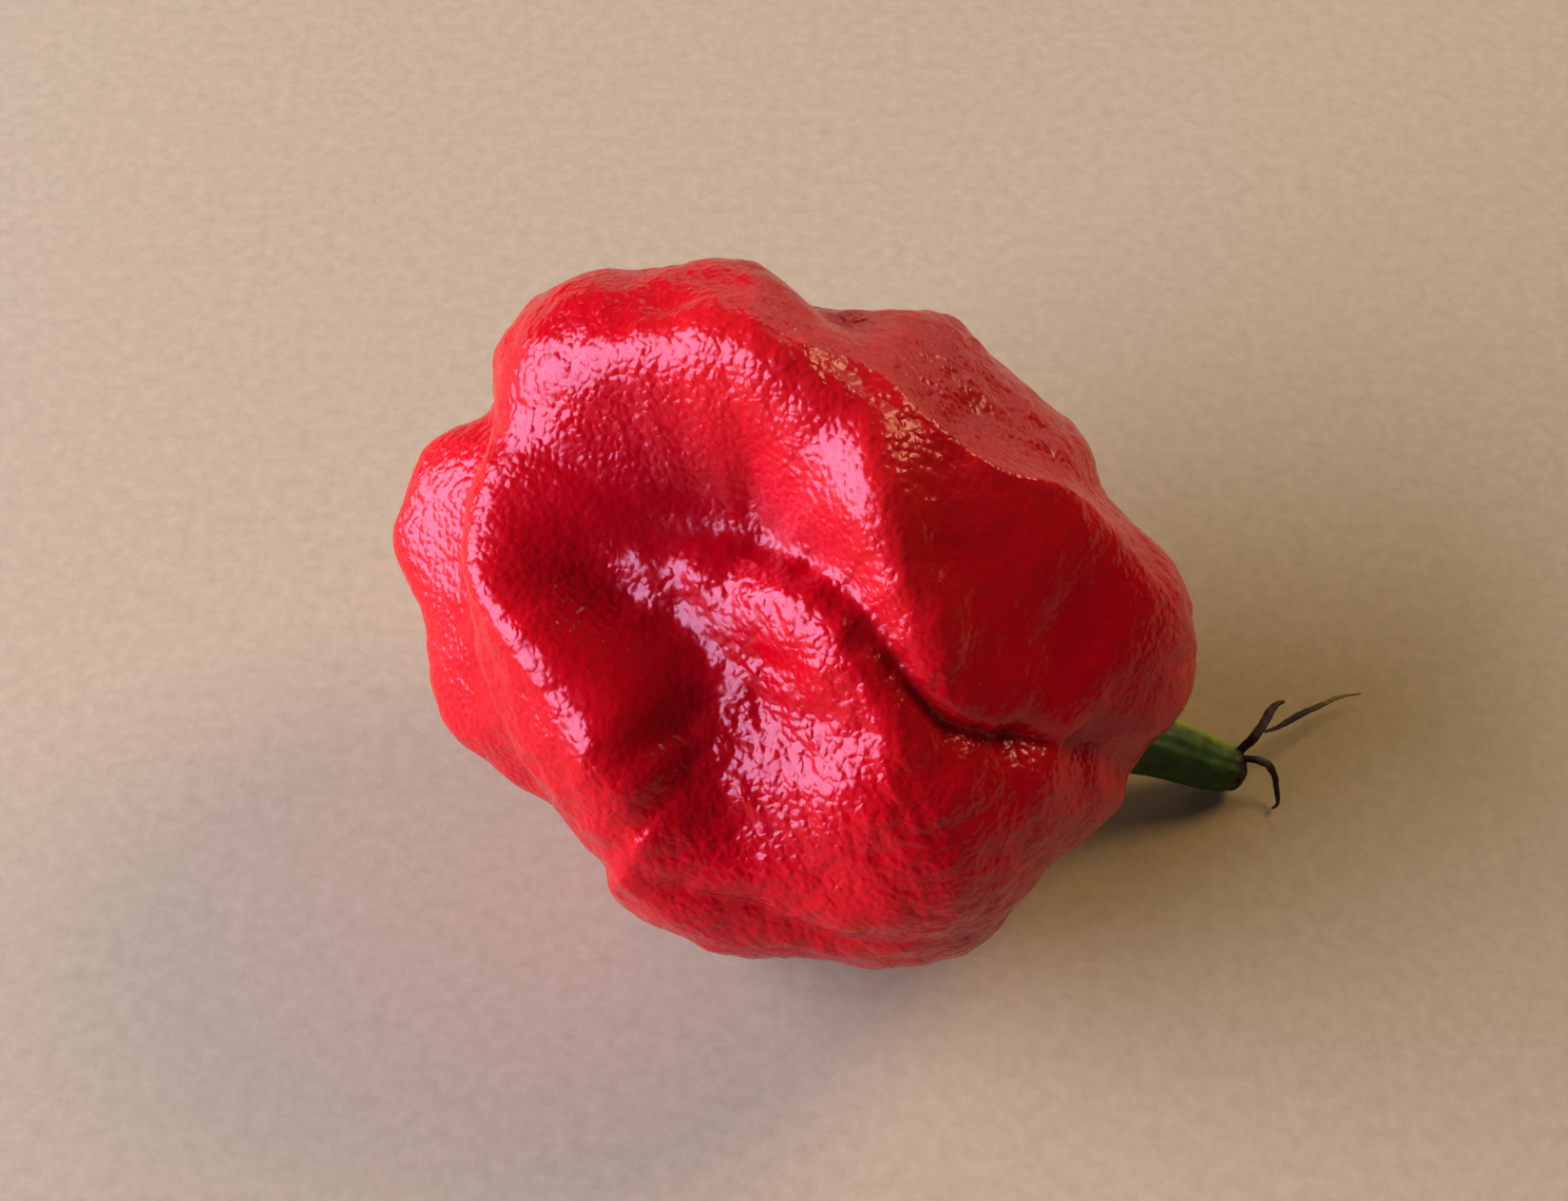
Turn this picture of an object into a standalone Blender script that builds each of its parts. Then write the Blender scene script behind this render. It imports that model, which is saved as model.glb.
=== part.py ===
"""Chilli pepper: a squat, deeply folded red pod lying on its side, with its calyx and torn stem."""
import math

import bpy
import numpy as np
from mathutils import Matrix, Vector
from mathutils.bvhtree import BVHTree

MM = 0.001

# The pod's own frame, in millimetres: X from the blossom tip to the stem, Z out of its broad face.
FACE_DEPTH = 16.0      # from the pod's centre to its broad face, before the folds
UNDER_DEPTH = 15.5     # from the centre to its underside, before the folds
EDGE_POWER = 2.4       # how square the pod is between its face and its edge
ROLL = 35.0            # degrees that the pod has rolled back about X, as it lies
CENTRE_HEIGHT = 18.8   # the pod's centre above what it lies on
PRESS = 0.25           # how far up the lowest lumps are pressed level
FACE_SOFTNESS = 1.3    # roundness of the broad face along its lines
FACE_EASE = 0.15       # how far the face may miss them
POD_DIVISIONS = 26     # quads along each side of the ball that the pod is shaped from

STEM_TURNS = 20        # points round the stem
CALYX_RADIUS = 4.3
CALYX_THICKNESS = 0.8
CALYX_GAP = 0.62       # between the calyx and the skin under it

# The pod's edge seen square on to its face, anticlockwise from the stem side.
OUTLINE = [
    (23.8, -2.4), (23.5, 0.5), (22.3, 3.2), (18.2, 7.4), (16.6, 11.2), (12.5, 15.0), (8.2, 18.5),
    (1.5, 19.1), (-4.5, 21.8), (-10.0, 21.6), (-15.8, 21.0), (-19.7, 17.2), (-20.2, 11.7),
    (-21.4, 6.0), (-21.6, -0.5), (-20.0, -6.6), (-16.5, -11.8), (-13.6, -15.4), (-12.9, -17.4),
    (-6.9, -20.6), (-0.6, -21.3), (4.6, -21.8), (10.3, -20.0), (14.5, -15.5), (18.9, -11.7),
    (19.4, -9.3), (22.5, -6.4),
]

# Lines over the broad face that fix how far out the skin stands: x, y, z.
FACE = [
    ("outer rim",
     [(-21.4, 2.8, 8.8), (-20.3, 0.3, 9.9), (-18.5, -2.5, 11.1), (-16.6, -5.3, 11.9),
      (-15.3, -8.1, 12.1), (-13.9, -10.6, 11.8)]),
    ("left rim",
     [(-18.8, 9.1, 9.8), (-20.2, 6.9, 9.8), (-20.5, 4.6, 10.4), (-19.5, 2.5, 11.4),
      (-17.1, 0.3, 12.5), (-15.0, -2.2, 13.2), (-13.2, -4.6, 13.6), (-11.5, -6.7, 13.7),
      (-10.3, -9.2, 13.5), (-9.6, -12.1, 12.2)]),
    ("brow",
     [(-17.7, 12.2, 9.8), (-14.5, 13.5, 12.0), (-10.7, 14.3, 14.0), (-7.3, 13.4, 15.4),
      (-4.0, 12.5, 16.7), (-0.7, 11.9, 17.6)]),
    ("under the brow",
     [(-16.4, 10.4, 10.2), (-13.3, 11.5, 11.4), (-10.8, 11.8, 12.4), (-7.4, 11.0, 13.5),
      (-4.0, 10.3, 14.8)]),
    ("roof of the hollow",
     [(-14.0, 8.7, 10.6), (-10.9, 9.0, 11.2), (-7.4, 8.5, 12.0), (-4.0, 8.0, 13.1)]),
    ("back face",
     [(4.8, 13.6, 15.2), (7.6, 11.9, 13.6), (10.8, 10.5, 12.6), (13.7, 8.8, 11.0)]),
    ("right rim",
     [(1.4, 10.7, 18.2), (1.7, 8.6, 18.6), (2.0, 6.5, 18.8), (2.7, 4.2, 18.6), (3.8, 1.5, 18.3),
      (5.0, -0.9, 17.9), (6.4, -3.0, 17.2), (8.7, -4.7, 15.8), (11.6, -5.8, 13.9),
      (14.9, -6.7, 11.4)]),
    ("foot of the right rim",
     [(-1.1, 8.7, 16.4), (-0.9, 6.3, 15.6)]),
    ("crest",
     [(2.9, 11.4, 18.2), (4.7, 10.1, 18.0), (7.4, 8.1, 17.2), (9.9, 7.2, 16.4), (12.7, 7.0, 15.0),
      (15.3, 6.1, 13.2), (17.7, 4.5, 11.2)]),
    ("right face",
     [(6.5, 3.9, 17.6), (10.5, 1.2, 15.4), (15.1, 1.2, 12.6), (9.0, -2.1, 15.8), (13.5, -2.8, 12.8)]),
    ("upper valley",
     [(-17.5, 5.9, 10.4), (-14.7, 5.7, 10.2), (-10.9, 5.4, 10.4), (-6.5, 4.9, 11.2),
      (-3.1, 4.4, 12.4), (-0.3, 3.2, 14.2), (1.5, 1.8, 15.6), (3.0, -0.3, 16.1), (4.2, -2.6, 16.2)]),
    ("crease",
     [(5.4, -4.4, 16.2), (7.6, -6.1, 14.4), (10.8, -7.3, 12.3), (14.4, -8.0, 10.0)]),
    ("rib",
     [(-10.9, 3.0, 11.0), (-7.1, 2.9, 12.4), (-3.4, 2.6, 14.4), (-0.5, 1.5, 16.4), (1.3, -0.4, 17.3),
      (2.9, -3.0, 17.6), (4.4, -5.5, 17.2), (5.8, -8.0, 16.4)]),
    ("lower valley",
     [(-15.3, 2.1, 10.4), (-12.5, 0.9, 10.4), (-9.6, -0.3, 10.9), (-7.1, -1.6, 11.6),
      (-4.6, -3.1, 12.6), (-2.2, -4.4, 13.8), (0.3, -5.5, 15.0), (2.4, -6.5, 15.9)]),
    ("low ridge",
     [(6.6, -9.5, 15.8), (8.8, -9.0, 14.7), (11.7, -8.9, 13.0), (14.7, -9.2, 10.9)]),
    ("front dip",
     [(-8.7, -6.5, 12.0), (-7.4, -9.0, 11.8), (-4.9, -10.2, 12.2), (-5.6, -12.4, 11.4)]),
    ("front bump",
     [(3.1, -8.6, 16.4), (3.9, -10.8, 16.0), (2.2, -12.9, 14.6)]),
]

# Each fold: name, width on its left, width on its right, whether it is a sharp crease, and its line.
# A point on the line is x, y and height on the broad face, or x, y, z and height anywhere else.
FOLDS = [
    ("crest edge", 1.0, 1.4, True,
     [(1.4, 12.1, 0.0), (2.9, 11.7, 0.5), (4.7, 10.2, 0.8), (7.4, 8.1, 0.9), (9.8, 7.2, 0.8),
      (12.5, 6.9, 0.7), (14.9, 5.9, 0.4), (17.0, 4.3, 0.0)]),
    ("brow edge", 1.8, 1.4, False,
     [(-17.2, 11.9, 0.0), (-14.3, 13.4, 0.5), (-10.7, 14.4, 0.6), (-7.3, 13.7, 0.6),
      (-4.0, 13.0, 0.6), (-0.6, 12.3, 0.3)]),
    ("rim crease", 0.9, 1.1, True,
     [(1.5, 2.4, 0.0), (3.0, -0.2, -0.4), (4.3, -2.5, -0.8), (5.6, -4.4, -1.0), (7.6, -6.1, -1.0),
      (10.7, -7.1, -1.0), (14.0, -7.7, -0.8)]),
    ("bottom wrinkle", 1.2, 1.4, True,
     [(-11.3, -14.6, -0.2), (-9.2, -16.6, -0.6), (-4.1, -18.4, -0.7), (0.5, -19.3, -0.7),
      (5.0, -19.0, -0.3)]),
    ("top notch", 2.0, 2.0, False,
     [(-1.8, 20.6, -1.2), (0.5, 17.4, -1.2), (2.3, 14.5, -0.4)]),
    ("tip ridge", 3.0, 5.0, False,
     [(-18.5, 12.8, -5.0, 0.2), (-20.4, 10.4, -5.0, 3.2), (-21.5, 8.2, -5.0, 6.2),
      (-21.6, 5.0, -5.0, 5.8), (-21.6, 2.2, -5.2, 5.6), (-21.3, -0.4, -5.5, 4.8),
      (-21.0, -3.0, -5.8, 5.2), (-20.3, -5.4, -6.2, 5.4), (-19.0, -8.0, -6.8, 4.4),
      (-17.0, -10.6, -7.2, 2.6), (-14.5, -12.6, -7.6, 0.3)]),
    ("tip crease", 1.9, 1.9, True,
     [(-19.6, 11.8, 1.0, -0.6), (-20.6, 8.6, 3.0, -1.6), (-20.8, 4.0, 3.6, -2.2),
      (-20.8, -0.3, 3.4, -2.4), (-19.8, -3.4, 2.8, -2.6), (-18.0, -6.6, 2.4, -2.6),
      (-16.4, -9.8, 2.0, -2.2), (-14.2, -13.2, 1.4, -1.0)]),
    ("upper back valley", 3.2, 3.2, False,
     [(14.0, 4.0, -13.0, -0.6), (8.0, 11.0, -13.0, -2.6), (0.0, 14.0, -12.0, -3.2),
      (-8.0, 12.0, -12.0, -2.8), (-15.0, 7.0, -11.0, -1.6), (-19.0, 2.0, -9.0, -0.4)]),
    ("lower back valley", 2.6, 3.0, False,
     [(15.0, -12.0, -7.0, -0.6), (10.0, -16.0, -6.0, -1.6), (2.0, -18.0, -6.5, -2.0),
      (-6.0, -16.5, -7.5, -1.8), (-12.0, -12.0, -8.5, -0.6)]),
    ("back ridge", 4.0, 4.0, False,
     [(13.0, -1.0, -14.0, 0.4), (6.0, 3.0, -16.0, 1.8), (-2.0, 4.0, -16.0, 2.2),
      (-10.0, 2.0, -14.0, 1.6), (-16.0, -2.0, -11.0, 0.6)]),
]

# Each bump: name, its place as for a fold's point, radius and height.
BUMPS = [
    ("shoulder lobe", (-15.4, 15.0), 5.0, 0.8),
    ("belly", (5.0, -16.0), 6.0, 0.8),
    ("blossom tip", (-21.5, 4.0, -5.0), 2.0, 1.6),
    ("resting lump near the tip", (-10.5, -13.6, -13.2), 4.8, 1.0),
    ("resting lump near the stem", (9.5, -13.8, -12.8), 4.8, 0.3),
    ("resting lump at the back", (-1.0, -2.0, -18.6), 7.5, 4.0),
    ("top of the back", (-2.0, 17.0, -11.0), 6.0, 1.6),
    ("stem seat", (16.0, -6.8, -9.6), 4.6, -4.6),
    ("lobe above the seat", (17.5, 1.0, -9.5), 5.0, 1.4),
    ("lobe behind the seat", (12.0, -8.0, -14.5), 4.0, 1.0),
]

# The stem's centre line in the resting frame, from the calyx's seat to the torn end, with its radius.
STEM = [
    (18.0, -1.4, 7.2, 2.4), (20.6, -1.0, 5.9, 2.2), (23.2, -0.8, 4.6, 2.05),
    (25.8, -0.85, 3.1, 1.85), (27.6, -0.9, 2.2, 1.65), (28.7, -0.9, 1.8, 1.45), (29.3, -0.9, 1.65, 1.0),
]
SEAT = (15.6, -1.8, 8.6)   # middle of the calyx, near the skin

# Dry strands torn out of the stem's end: the centre line in the resting frame with half the width.
STRANDS = {
    "upper_strand": [
        (29.4, -0.1, 3.75, 0.34), (30.0, 0.5, 3.8, 0.34), (30.8, 1.7, 3.7, 0.33),
        (31.4, 2.8, 3.5, 0.30), (31.9, 3.4, 3.3, 0.22), (32.5, 3.8, 3.1, 0.12)],
    "long_strand": [
        (31.7, 1.75, 2.7, 0.12), (32.4, 2.2, 2.75, 0.22), (33.7, 3.1, 2.6, 0.25),
        (35.2, 4.1, 2.1, 0.20), (36.7, 5.1, 1.6, 0.14), (38.4, 5.7, 1.2, 0.08)],
    "curled_strand": [
        (30.35, -0.85, 3.0, 0.22), (30.75, -0.9, 2.8, 0.32), (31.1, -1.0, 2.3, 0.30),
        (31.5, -1.5, 1.7, 0.24), (31.6, -2.1, 1.1, 0.18), (31.7, -2.9, 0.6, 0.12)],
}
STRAND_FLATNESS = 0.55     # thickness over width
STRAND_TURNS = 8


def clear_scene():
    for ob in list(bpy.data.objects):
        bpy.data.objects.remove(ob, do_unlink=True)


def material(name, colour, roughness):
    mat = bpy.data.materials.new(name)
    mat.use_nodes = True
    shader = mat.node_tree.nodes["Principled BSDF"]
    shader.inputs["Base Color"].default_value = (*colour, 1.0)
    shader.inputs["Roughness"].default_value = roughness
    shader.inputs["Metallic"].default_value = 0.0
    return mat


def add_object(name, points, faces, mat):
    """A smooth-shaded object from points in millimetres."""
    mesh = bpy.data.meshes.new(name)
    mesh.from_pydata((np.asarray(points) * MM).tolist(), [], faces)
    mesh.materials.append(mat)
    mesh.shade_smooth()
    ob = bpy.data.objects.new(name, mesh)
    bpy.context.collection.objects.link(ob)
    return ob


def edge_radius(angle):
    """The outline's radius at an angle, a smooth closed curve through its points."""
    points = np.array(OUTLINE)
    angles = np.arctan2(points[:, 1], points[:, 0])
    order = np.argsort(angles)
    a, r = angles[order], np.hypot(points[:, 0], points[:, 1])[order]
    a = np.concatenate([a[-2:] - 2 * np.pi, a, a[:2] + 2 * np.pi])
    r = np.concatenate([r[-2:], r, r[:2]])
    slope = np.zeros(len(a))
    slope[1:-1] = (r[2:] - r[:-2]) / (a[2:] - a[:-2])
    angle = np.mod(angle - a[1], 2 * np.pi) + a[1]
    i = np.clip(np.searchsorted(a, angle, side="right") - 1, 1, len(a) - 3)
    h = a[i + 1] - a[i]
    t = (angle - a[i]) / h
    return (r[i] * (1 + 2 * t) * (1 - t) ** 2 + h * slope[i] * t * (1 - t) ** 2
            + r[i + 1] * t * t * (3 - 2 * t) + h * slope[i + 1] * t * t * (t - 1))


def base_radius(directions):
    """Distance from the centre to the plain pod, before any fold, along each unit direction."""
    flat = np.hypot(directions[:, 0], directions[:, 1])
    edge = edge_radius(np.arctan2(directions[:, 1], directions[:, 0]))
    depth = np.where(directions[:, 2] > 0, FACE_DEPTH, UNDER_DEPTH)
    return ((flat / edge) ** EDGE_POWER
            + (np.abs(directions[:, 2]) / depth) ** EDGE_POWER) ** (-1 / EDGE_POWER)


def on_base(place):
    """The point of the plain pod at x, y on its broad face, or in the direction of x, y, z."""
    if len(place) == 2:
        x, y = place
        share = math.hypot(x, y) / edge_radius(np.array([math.atan2(y, x)]))[0]
        if share > 0.999:
            x, y, share = x * 0.999 / share, y * 0.999 / share, 0.999
        return np.array([x, y, FACE_DEPTH * (1 - share ** EDGE_POWER) ** (1 / EDGE_POWER)])
    direction = np.array(place, float) / np.linalg.norm(place)
    return direction * base_radius(direction[None])[0]


def smooth_line(points, steps):
    """A smooth line through the points, with the same number of steps between each two."""
    p = np.array(points, float)
    p = np.concatenate([[2 * p[0] - p[1]], p, [2 * p[-1] - p[-2]]])
    line = []
    for before, start, end, after in zip(p[:-3], p[1:-2], p[2:-1], p[3:]):
        for t in np.arange(steps) / steps:
            line.append(0.5 * (2 * start + (end - before) * t
                               + (2 * before - 5 * start + 4 * end - after) * t * t
                               + (3 * start - before - 3 * end + after) * t ** 3))
    line.append(p[-2])
    return np.array(line)


def fold_height(base, width_left, width_right, crease, line):
    """How far one fold raises each point of the plain pod."""
    line = smooth_line(line, 6)
    line = np.array([[*on_base(tuple(p[:-1])), p[-1]] for p in line])
    rise = np.zeros(len(base))
    for a, b in zip(line[:-1], line[1:]):
        along = b[:3] - a[:3]
        away = base - a[:3]
        t = np.clip(away @ along / (along @ along), 0, 1)
        distance = np.linalg.norm(away - t[:, None] * along, axis=1)
        left = (np.cross(along, away) * base).sum(1) / np.linalg.norm(along)
        left = np.clip(left / (np.linalg.norm(base, axis=1) * np.maximum(distance, 0.05)), -1, 1)
        x = distance / (0.5 * (width_left + width_right) + 0.5 * left * (width_left - width_right))
        height = a[3] + t * (b[3] - a[3])
        height *= np.exp(-1.6 * (np.sqrt(x * x + 0.06) - 0.245)) if crease else np.exp(-x * x)
        rise = np.where(np.abs(height) > np.abs(rise), height, rise)
    return rise


def fold_heights(base):
    """How far the folds and bumps raise each point of the plain pod."""
    rise = np.zeros(len(base))
    for _, width_left, width_right, crease, line in FOLDS:
        rise += fold_height(base, width_left, width_right, crease, line)
    for _, place, radius, height in BUMPS:
        rise += height * np.exp(-((base - on_base(place)) ** 2).sum(1) / radius ** 2)
    return rise


def spacing(a, b):
    """Softened distances between two sets of points."""
    squares = (a ** 2).sum(1)[:, None] + (b ** 2).sum(1) - 2 * a @ b.T
    return np.sqrt(np.maximum(squares, 0) + FACE_SOFTNESS ** 2)


def face_heights(base):
    """How far the broad face is raised or sunk so that its lines stand where FACE puts them."""
    lines = np.array([point for _, line in FACE for point in line])
    radius = np.linalg.norm(lines, axis=1)
    headings = lines / radius[:, None]
    knots = headings * base_radius(headings)[:, None]
    wanted = radius - base_radius(headings) - fold_heights(knots)
    still = [(math.cos(a), math.sin(a), z) for z in (0.14, -0.3) for a in np.arange(30) * math.pi / 15]
    still += [(math.cos(a), math.sin(a), -1.2) for a in np.arange(8) * math.pi / 4] + [(0.0, 0.0, -1.0)]
    still = np.array(still) / np.linalg.norm(still, axis=1)[:, None]
    knots = np.concatenate([knots, still * base_radius(still)[:, None]])
    wanted = np.concatenate([wanted, np.zeros(len(still))])
    weights = np.linalg.solve(spacing(knots, knots) - FACE_EASE * np.eye(len(knots)), wanted)
    return spacing(base, knots) @ weights


def pod_points(directions):
    """The pod's skin along each unit direction, in its own frame."""
    base = directions * base_radius(directions)[:, None]
    return base + directions * (fold_heights(base) + face_heights(base))[:, None]


def laid_down(points):
    """Rolls the pod as it lies, sets its centre's height and presses its lowest lumps level."""
    c, s = math.cos(math.radians(ROLL)), math.sin(math.radians(ROLL))
    x, y, z = points.T
    height = y * s + z * c + CENTRE_HEIGHT
    height = np.where(height < PRESS, 0.0, height)
    soft = (height >= PRESS) & (height < 3 * PRESS)
    height = np.where(soft, (height - PRESS) * 1.5, height)
    return np.stack([x, y * c - z * s, height], 1)


def ball(divisions):
    """Unit directions and outward quads of a cube, divided evenly and blown up into a ball."""
    tangent = np.tan(np.linspace(-math.pi / 4, math.pi / 4, divisions + 1))
    index, directions, quads = {}, [], []
    for out, first, second in [(0, 1, 2), (1, 2, 0), (2, 0, 1)]:
        for sign in (1, -1):
            grid = []
            for i in range(divisions + 1):
                row = []
                for j in range(divisions + 1):
                    key = [0, 0, 0]
                    key[out] = sign * divisions
                    key[first] = sign * (2 * i - divisions)
                    key[second] = 2 * j - divisions
                    key = tuple(key)
                    if key not in index:
                        index[key] = len(directions)
                        point = np.zeros(3)
                        point[out], point[first], point[second] = sign, sign * tangent[i], tangent[j]
                        directions.append(point / np.linalg.norm(point))
                    row.append(index[key])
                grid.append(row)
            for i in range(divisions):
                for j in range(divisions):
                    quads.append((grid[i][j], grid[i + 1][j], grid[i + 1][j + 1], grid[i][j + 1]))
    return np.array(directions), quads


def rings_to_faces(rings, turns):
    """Faces of a closed body whose points are one start pole, the rings in order, and one end pole."""
    faces = [(0, 1 + (k + 1) % turns, 1 + k) for k in range(turns)]
    for r in range(rings - 1):
        a, b = 1 + r * turns, 1 + (r + 1) * turns
        faces += [(a + k, a + (k + 1) % turns, b + (k + 1) % turns, b + k) for k in range(turns)]
    last = 1 + (rings - 1) * turns
    faces += [(last + k, last + (k + 1) % turns, 1 + rings * turns) for k in range(turns)]
    return faces


def across(direction):
    """Two unit vectors square to a direction, the first one level."""
    direction = Vector(direction).normalized()
    level = Vector((0, 0, 1)).cross(direction).normalized()
    return np.array(level), np.array(direction.cross(level))


def tube(line, flatness, turns):
    """Points and faces of a closed rod along x, y, z and half-width, oval where flatness is below 1."""
    line = np.asarray(line)
    heading = np.gradient(line[:, :3], axis=0)
    heading /= np.linalg.norm(heading, axis=1)[:, None]
    points = [line[0, :3] - heading[0] * 0.4 * line[0, 3]]
    for p, h in zip(line, heading):
        level, up = across(h)
        for k in range(turns):
            a = 2 * math.pi * k / turns
            points.append(p[:3] + p[3] * (math.cos(a) * level + flatness * math.sin(a) * up))
    points.append(line[-1, :3] + heading[-1] * 0.4 * line[-1, 3])
    return np.array(points), rings_to_faces(len(line), turns)


def centre_over_origin():
    """Slides the whole pepper so that the origin is under the middle of its box."""
    points = np.concatenate([[v.co for v in ob.data.vertices] for ob in bpy.data.objects])
    middle = (points.min(0) + points.max(0)) / 2
    for ob in bpy.data.objects:
        ob.data.transform(Matrix.Translation((-middle[0], -middle[1], 0.0)))


def build_stem(skin, mat):
    """The calyx, shaped to the skin under it, and the stem that grows out of it, as one body."""
    seat = np.array(SEAT)
    heading = np.array(STEM[0][:3]) - seat
    heading /= np.linalg.norm(heading)
    level, up = across(heading)
    turn = [2 * math.pi * k / STEM_TURNS for k in range(STEM_TURNS)]

    def above_skin(offset, lift):
        start = seat + heading * 14 + offset
        hit = skin.ray_cast(Vector(start * MM), Vector(-heading))[0]
        return np.array(hit) / MM + heading * (CALYX_GAP + lift)

    points = [above_skin(np.zeros(3), 0.0)]
    rings = 0
    for share, lift in [(0.35, 0.0), (0.7, 0.0), (0.95, 0.05), (1.0, 0.25), (0.93, 0.5),
                        (0.8, CALYX_THICKNESS), (0.64, CALYX_THICKNESS + 0.5)]:
        for a in turn:
            radius = CALYX_RADIUS * share * (1 + 0.12 * share * math.cos(5 * a))
            points.append(above_skin(radius * (math.cos(a) * level + math.sin(a) * up), lift))
        rings += 1
    stem_points = tube(smooth_line(STEM, 3), 1.0, STEM_TURNS)[0]
    points += list(stem_points[1:])
    rings += (len(stem_points) - 2) // STEM_TURNS
    return add_object("stem", points, rings_to_faces(rings, STEM_TURNS), mat)


clear_scene()
skin_red = material("chilli_skin", (0.60, 0.008, 0.012), 0.34)
stem_green = material("stem_green", (0.035, 0.085, 0.012), 0.55)
dry_brown = material("dry_strand", (0.035, 0.022, 0.016), 0.75)

directions, quads = ball(POD_DIVISIONS)
pod = add_object("pod", laid_down(pod_points(directions)), quads, skin_red)
skin = BVHTree.FromPolygons([v.co for v in pod.data.vertices], quads)
build_stem(skin, stem_green)
for strand_name, strand_line in STRANDS.items():
    strand_points, strand_faces = tube(smooth_line(strand_line, 4), STRAND_FLATNESS, STRAND_TURNS)
    add_object(strand_name, strand_points, strand_faces, dry_brown)
centre_over_origin()
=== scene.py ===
"""Looks for the chilli pepper: its skin, calyx, stem and dry strands, the floor, lights and camera."""
import math

import bpy
import numpy as np
from mathutils import Matrix, Vector, noise
from mathutils.bvhtree import BVHTree


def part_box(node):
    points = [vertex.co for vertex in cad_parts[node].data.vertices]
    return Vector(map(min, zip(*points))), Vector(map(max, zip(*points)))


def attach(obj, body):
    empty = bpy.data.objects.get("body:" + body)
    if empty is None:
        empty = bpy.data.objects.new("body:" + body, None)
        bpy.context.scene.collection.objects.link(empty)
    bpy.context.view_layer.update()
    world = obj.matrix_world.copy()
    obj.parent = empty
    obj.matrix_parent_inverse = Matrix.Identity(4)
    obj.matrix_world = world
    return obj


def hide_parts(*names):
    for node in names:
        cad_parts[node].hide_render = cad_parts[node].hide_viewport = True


MM = 0.001

# The pod's own frame, in millimetres: X from the blossom tip to the stem, Z out of its broad face.
FACE_DEPTH = 16.0
UNDER_DEPTH = 15.5
EDGE_POWER = 2.4
ROLL = 35.0
CENTRE_HEIGHT = 18.8
PRESS = 0.25
FACE_SOFTNESS = 1.3
FACE_EASE = 0.15
POD_DIVISIONS = 128

# The pod's edge seen square on to its face, anticlockwise from the stem side.
OUTLINE = [
    (23.8, -2.4), (23.5, 0.5), (22.3, 3.2), (18.2, 7.4), (16.6, 11.2), (12.5, 15.0), (8.2, 18.5),
    (1.5, 19.1), (-4.5, 21.8), (-10.0, 21.6), (-15.8, 21.0), (-19.7, 17.2), (-20.2, 11.7),
    (-21.4, 6.0), (-21.6, -0.5), (-20.0, -6.6), (-16.5, -11.8), (-13.6, -15.4), (-12.9, -17.4),
    (-6.9, -20.6), (-0.6, -21.3), (4.6, -21.8), (10.3, -20.0), (14.5, -15.5), (18.9, -11.7),
    (19.4, -9.3), (22.5, -6.4),
]

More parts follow.
